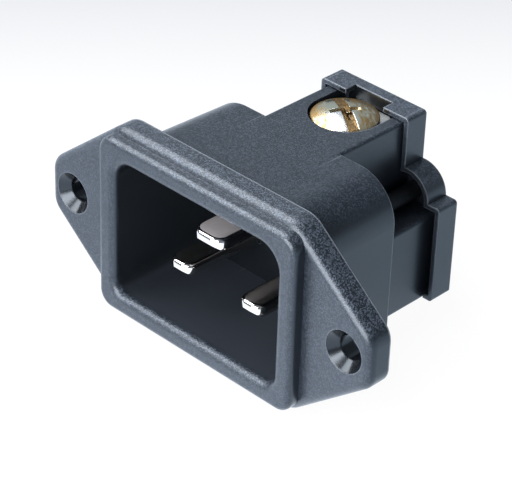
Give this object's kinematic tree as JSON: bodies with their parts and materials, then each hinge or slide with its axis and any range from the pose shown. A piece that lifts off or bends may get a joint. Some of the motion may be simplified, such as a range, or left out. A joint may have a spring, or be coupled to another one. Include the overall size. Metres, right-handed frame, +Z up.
{
  "type": "panel mount power inlet",
  "caption": "Moulded panel inlet with a lozenge flange, a recess round flat contact pins, and screw clamp terminals behind a rear cover.",
  "frame": {"origin": "midway between the two fixing holes, on the rear face of the flange where the panel bears", "axes": "+Z up, +X to the right seen from the front, the front faces -Y"},
  "size_m": [0.0588, 0.0389, 0.0284],
  "materials": {
    "moulded_nylon": "dark blue grey glass filled nylon, fine spark eroded grain",
    "plated_pins": "bright nickel plate",
    "terminal_screws": "zinc plate with yellow brown tarnish",
    "clamp_plates": "zinc plated steel",
    "cover_screws": "black oxide steel"
  },
  "bodies": {
    "housing": {"inlet_housing": "moulded_nylon", "rear_cover": "moulded_nylon", "earth_pin": "plated_pins", "line_pin": "plated_pins", "neutral_pin": "plated_pins", "right_cover_screw": "cover_screws", "left_cover_screw": "cover_screws"},
    "earth_clamp": {"earth_clamp_plate": "clamp_plates"},
    "earth_screw": {"earth_terminal_screw": "terminal_screws"},
    "line_clamp": {"line_clamp_plate": "clamp_plates"},
    "line_screw": {"line_terminal_screw": "terminal_screws"},
    "neutral_clamp": {"neutral_clamp_plate": "clamp_plates"},
    "neutral_screw": {"neutral_terminal_screw": "terminal_screws"}
  },
  "joints": [
    {"name": "earth_clamp_slide", "type": "slide", "parent": "housing", "child": "earth_clamp", "axis": [0, 0, 1], "range_m": [-0.0049, 0.0012]},
    {"name": "earth_screw_turn", "type": "hinge", "parent": "earth_clamp", "child": "earth_screw", "pos_m": [0, 0.02275, 0.01], "axis": [0, 0, 1], "range_deg": [-2525, 625]},
    {"name": "line_clamp_slide", "type": "slide", "parent": "housing", "child": "line_clamp", "axis": [0, 0, -1], "range_m": [-0.0035, 0.0012]},
    {"name": "line_screw_turn", "type": "hinge", "parent": "line_clamp", "child": "line_screw", "pos_m": [0.0065, 0.02275, -0.01], "axis": [0, 0, -1], "range_deg": [-1805, 625]},
    {"name": "neutral_clamp_slide", "type": "slide", "parent": "housing", "child": "neutral_clamp", "axis": [0, 0, -1], "range_m": [-0.0035, 0.0012]},
    {"name": "neutral_screw_turn", "type": "hinge", "parent": "neutral_clamp", "child": "neutral_screw", "pos_m": [-0.0065, 0.02275, -0.01], "axis": [0, 0, -1], "range_deg": [-1805, 625]}
  ],
  "couplings": [
    {"joint": "earth_screw_turn", "follows": "earth_clamp_slide", "rad_per_m": 8976},
    {"joint": "line_screw_turn", "follows": "line_clamp_slide", "rad_per_m": 8976},
    {"joint": "neutral_screw_turn", "follows": "neutral_clamp_slide", "rad_per_m": 8976}
  ]
}
